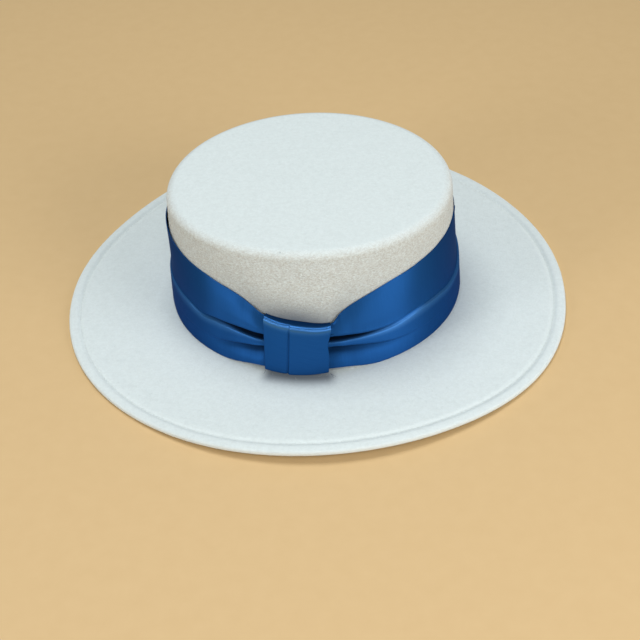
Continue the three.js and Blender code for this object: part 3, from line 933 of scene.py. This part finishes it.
def woolFelt():
    # pressed wool felt: matt, with a short tangled nap that breaks up the light into small tufts,
    # standing on the side of the crown and flat elsewhere
    material, tree, shader = newMaterial("white_wool_felt")
    place = addNode(tree, "ShaderNodeTexCoord").outputs["Object"]
    layer = addNode(tree, "ShaderNodeUVMap", uv_map="felt").outputs["UV"]
    look = addNode(tree, "ShaderNodeSeparateXYZ", [(layer, "Vector")])
    mottle = addNode(tree, "ShaderNodeTexNoise", [(place, "Vector")],
                     Scale=1 / (feltLook["mottle"] * millimetre), Detail=4.0, Roughness=0.6)
    colour = colourBetween(tree, mottle.outputs["Fac"], feltLook["shaded"], feltLook["clean"])
    colour.color_ramp.elements[0].position = 0.2
    colour.color_ramp.elements[1].position = 0.62
    flattened = addNode(tree, "ShaderNodeMapping", [(place, "Vector")])
    flattened.inputs["Scale"].default_value = (1, 1, 1.8)
    tufts = addNode(tree, "ShaderNodeTexNoise", [(flattened.outputs["Vector"], "Vector")],
                    Scale=1 / (feltLook["nap"] * millimetre), Detail=5.0, Roughness=0.7, Distortion=0.6)
    between = addNode(tree, "ShaderNodeMapRange", [(tufts.outputs["Fac"], "Value")],
                      From_Min=0.62, From_Max=0.4, To_Min=0.0, To_Max=0.95)
    shown = addNode(tree, "ShaderNodeMath", [(between.outputs["Result"], 0), (look.outputs["Y"], 1)],
                    operation="MULTIPLY")
    napped = colourMix(tree, shown.outputs["Value"], colour.outputs["Color"], feltLook["tuft"])
    # painted shade: darker above the band and in the knot's shadow on the brim
    shadedFelt = colourMix(tree, look.outputs["X"], napped, feltLook["paintedShade"])
    tree.links.new(shadedFelt, shader.inputs["Base Color"])
    raised = addNode(tree, "ShaderNodeMapRange", [(look.outputs["Y"], "Value")], To_Min=0.1, To_Max=0.8)
    height = [(tufts.outputs["Fac"], "Height"), (raised.outputs["Result"], "Strength")]
    fine = addNode(tree, "ShaderNodeBump", height, Distance=0.9 * millimetre)
    tree.links.new(fine.outputs["Normal"], shader.inputs["Normal"])
    shader.inputs["Roughness"].default_value = feltLook["roughness"]
    shader.inputs["Specular IOR Level"].default_value = 0.2
    shader.inputs["Sheen Weight"].default_value = 0.25
    shader.inputs["Sheen Roughness"].default_value = 0.5
    return material


satinLook = {
    "deep": "#1a4c86",
    "bright": "#245a98",
    "satinShade": "#06101f",  # painted shade inside folds and the crease, on the knot's top and on hidden inner faces
    "edgeHighlight": "#4a82bf",    # painted highlight where the ribbon turns over an edge
    "gleam": "#2a4f80",   # dyed filament tints what it reflects at its edges too
    "filament": 0.75,     # share of the light that is reflected in the filament's own blue
    "thread": 0.5,        # mm between the threads, wider than real so that they show
    "roughness": 0.5,
    "pulledRoughness": 0.36,
}


def blueSatin(name, roughness):
    # polyester satin: long floats of filament give broad soft highlights across the threads,
    # narrower ones where the ribbon is pulled tight
    material, tree, shader = newMaterial(name)
    cloth = addNode(tree, "ShaderNodeUVMap", uv_map="cloth").outputs["UV"]
    stretched = addNode(tree, "ShaderNodeMapping", [(cloth, "Vector")])
    stretched.inputs["Scale"].default_value = (1 / satinLook["thread"], 0.05, 1)
    threads = addNode(tree, "ShaderNodeTexNoise", [(stretched.outputs["Vector"], "Vector")],
                      Scale=1.0, Detail=3.0, Roughness=0.6)
    colour = colourBetween(tree, threads.outputs["Fac"], satinLook["deep"], satinLook["bright"])
    folds = addNode(tree, "ShaderNodeUVMap", uv_map="folds").outputs["UV"]
    place = addNode(tree, "ShaderNodeSeparateXYZ", [(folds, "Vector")])
    # painted highlight from the folds UV's second channel
    withHighlight = colourMix(tree, place.outputs["Y"], colour.outputs["Color"], satinLook["edgeHighlight"])
    # painted shade from the folds UV's first channel
    shaded = colourMix(tree, place.outputs["X"], withHighlight, satinLook["satinShade"])
    tree.links.new(shaded, shader.inputs["Base Color"])
    bump = addNode(tree, "ShaderNodeBump", [(threads.outputs["Fac"], "Height")],
                   Strength=0.12, Distance=0.2 * millimetre)
    tree.links.new(bump.outputs["Normal"], shader.inputs["Normal"])
    tangent = addNode(tree, "ShaderNodeTangent", direction_type="UV_MAP", uv_map="cloth")
    tree.links.new(tangent.outputs["Tangent"], shader.inputs["Tangent"])
    shader.inputs["Roughness"].default_value = roughness
    shader.inputs["Metallic"].default_value = satinLook["filament"]
    shader.inputs["Anisotropic"].default_value = 0.83
    shader.inputs["Anisotropic Rotation"].default_value = 0.25
    shader.inputs["Specular IOR Level"].default_value = 0.15
    shader.inputs["Specular Tint"].default_value = linearColour(satinLook["gleam"])
    return material


# The white thread is painted a little greyer than the felt, as painted shade of the groove it
# lies in; the dark ones are dull beside the satin because their cut ends are frayed
threadLooks = {
    "white_sewing_thread": {"darker": "#c9cfca", "lighter": "#dde1db", "turn": 0.6, "roughness": 0.8},
    "navy_polyester_thread": {"darker": "#1c2c40", "lighter": "#3a4d63", "turn": 0.4, "roughness": 0.7},
}


def spunThread(name):
    # spun thread: matt, lighter and darker where its plies turn (mm for one turn)
    look = threadLooks[name]
    material, tree, shader = newMaterial(name)
    place = addNode(tree, "ShaderNodeTexCoord").outputs["Object"]
    plies = addNode(tree, "ShaderNodeTexNoise", [(place, "Vector")],
                    Scale=1 / (look["turn"] * millimetre), Detail=2.0)
    colour = colourBetween(tree, plies.outputs["Fac"], look["darker"], look["lighter"])
    tree.links.new(colour.outputs["Color"], shader.inputs["Base Color"])
    shader.inputs["Roughness"].default_value = look["roughness"]
    return material


def floorPaper():
    # matt uncoated paper: nearly even, so that only the hat's shadow shows on it
    material, tree, shader = newMaterial("pale_paper_floor")
    place = addNode(tree, "ShaderNodeTexCoord").outputs["Object"]
    grain = addNode(tree, "ShaderNodeTexNoise", [(place, "Vector")], Scale=90.0, Detail=3.0)
    colour = colourBetween(tree, grain.outputs["Fac"], "#d5b27e", "#dab884")
    tree.links.new(colour.outputs["Color"], shader.inputs["Base Color"])
    shader.inputs["Roughness"].default_value = 0.7
    return material


# Camera, lights and floor
view = {
    "azimuth": 5.464,
    "elevation": 40.813,
    "roll": 3.972,
    "distance": 949.6,
    "target": (4.19, -32.01, 0.0),
    "lens": 78.75,
}


def makeCamera():
    # stands back from the target along azimuth and elevation, and is turned by the roll
    azimuth, elevation, roll = np.radians([view["azimuth"], view["elevation"], view["roll"]])
    level = np.cos(elevation)
    back = Vector((np.sin(azimuth) * level, -np.cos(azimuth) * level, np.sin(elevation)))
    right = Vector((np.cos(azimuth), np.sin(azimuth), 0))
    up = back.cross(right)
    sideways = right * np.cos(roll) - up * np.sin(roll)
    upright = right * np.sin(roll) + up * np.cos(roll)
    camera = bpy.data.objects.new("camera", bpy.data.cameras.new("camera"))
    camera.data.lens = view["lens"]
    camera.data.sensor_width = 36
    camera.data.clip_start = 0.01
    turned = Matrix((sideways, upright, back)).transposed().to_4x4()
    place = (Vector(view["target"]) + back * view["distance"]) * millimetre
    camera.matrix_world = Matrix.Translation(place) @ turned
    bpy.context.scene.collection.objects.link(camera)
    bpy.context.scene.camera = camera


# Places in metres; each lamp is aimed at a point this high above the floor
lights = {
    "overhead": {"at": (-0.2, 0.25, 1.6), "aim": 0.03, "size": 0.9, "watts": 14, "colour": "#f2f8ff"},
    "front": {"at": (0.15, -1.0, 1.2), "aim": 0.04, "size": 0.3, "watts": 2.5, "colour": "#f6faff"},
    "right": {"at": (1.02, -0.8, 0.5), "aim": 0.04, "size": 0.95, "watts": 12.5, "colour": "#f2f4fa"},
    "left": {"at": (-1.03, -0.84, 0.5), "aim": 0.04, "size": 0.5, "watts": 6.4, "colour": "#f2f4fa"},
}


def makeLights():
    # soft round lamps and a dim, even surround
    for name, light in lights.items():
        data = bpy.data.lights.new(name, "AREA")
        data.shape = "DISK"
        data.size = light["size"]
        data.energy = light["watts"]
        data.color = linearColour(light["colour"])[:3]
        lamp = bpy.data.objects.new(name, data)
        lamp.location = light["at"]
        towards = Vector((0, 0, light["aim"])) - Vector(light["at"])
        lamp.rotation_euler = towards.to_track_quat("-Z", "Y").to_euler()
        bpy.context.scene.collection.objects.link(lamp)
    world = bpy.data.worlds.new("studio")
    world.use_nodes = True
    world.node_tree.nodes["Background"].inputs["Color"].default_value = linearColour("#eaf2f2")
    world.node_tree.nodes["Background"].inputs["Strength"].default_value = 0.28
    bpy.context.scene.world = world


def makeFloor():
    # one flat square, far larger than the hat
    half = 3000.0
    corners = np.array([[-half, -half, 0], [half, -half, 0], [half, half, 0], [-half, half, 0]])
    floor = meshObject("floor", corners, np.array([[0, 1, 2, 3]]), smooth=False)
    floor.data.materials.append(floorPaper())


print("camera, lights and floor")
makeCamera()
makeLights()
makeFloor()
bpy.context.scene.view_settings.view_transform = "Standard"

felt = woolFelt()
satin = blueSatin("royal_blue_satin", satinLook["roughness"])
pulledSatin = blueSatin("royal_blue_satin_pulled_tight", satinLook["pulledRoughness"])
thread = spunThread("white_sewing_thread")
darkThread = spunThread("navy_polyester_thread")

feltShell = makeFelt()
feltShell.data.materials.append(felt)
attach(feltShell, "root")
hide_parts("felt_body")

satinBand = makeBand()
satinBand.data.materials.append(satin)
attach(satinBand, "root")
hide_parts("ribbon_band")

satinKnot = makeKnot()
satinKnot.data.materials.append(pulledSatin)
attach(satinKnot, "root")
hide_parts("knot_wrap")

hemStitches = makeStitches()
hemStitches.data.materials.append(thread)
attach(hemStitches, "root")

looseEnds = makeLooseThreads()
looseEnds.data.materials.append(darkThread)
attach(looseEnds, "root")

strayFibre = makeDarkFibre()
strayFibre.data.materials.append(darkThread)
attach(strayFibre, "root")

feltFibres = makeFibres()
feltFibres.data.materials.append(felt)
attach(feltFibres, "root")
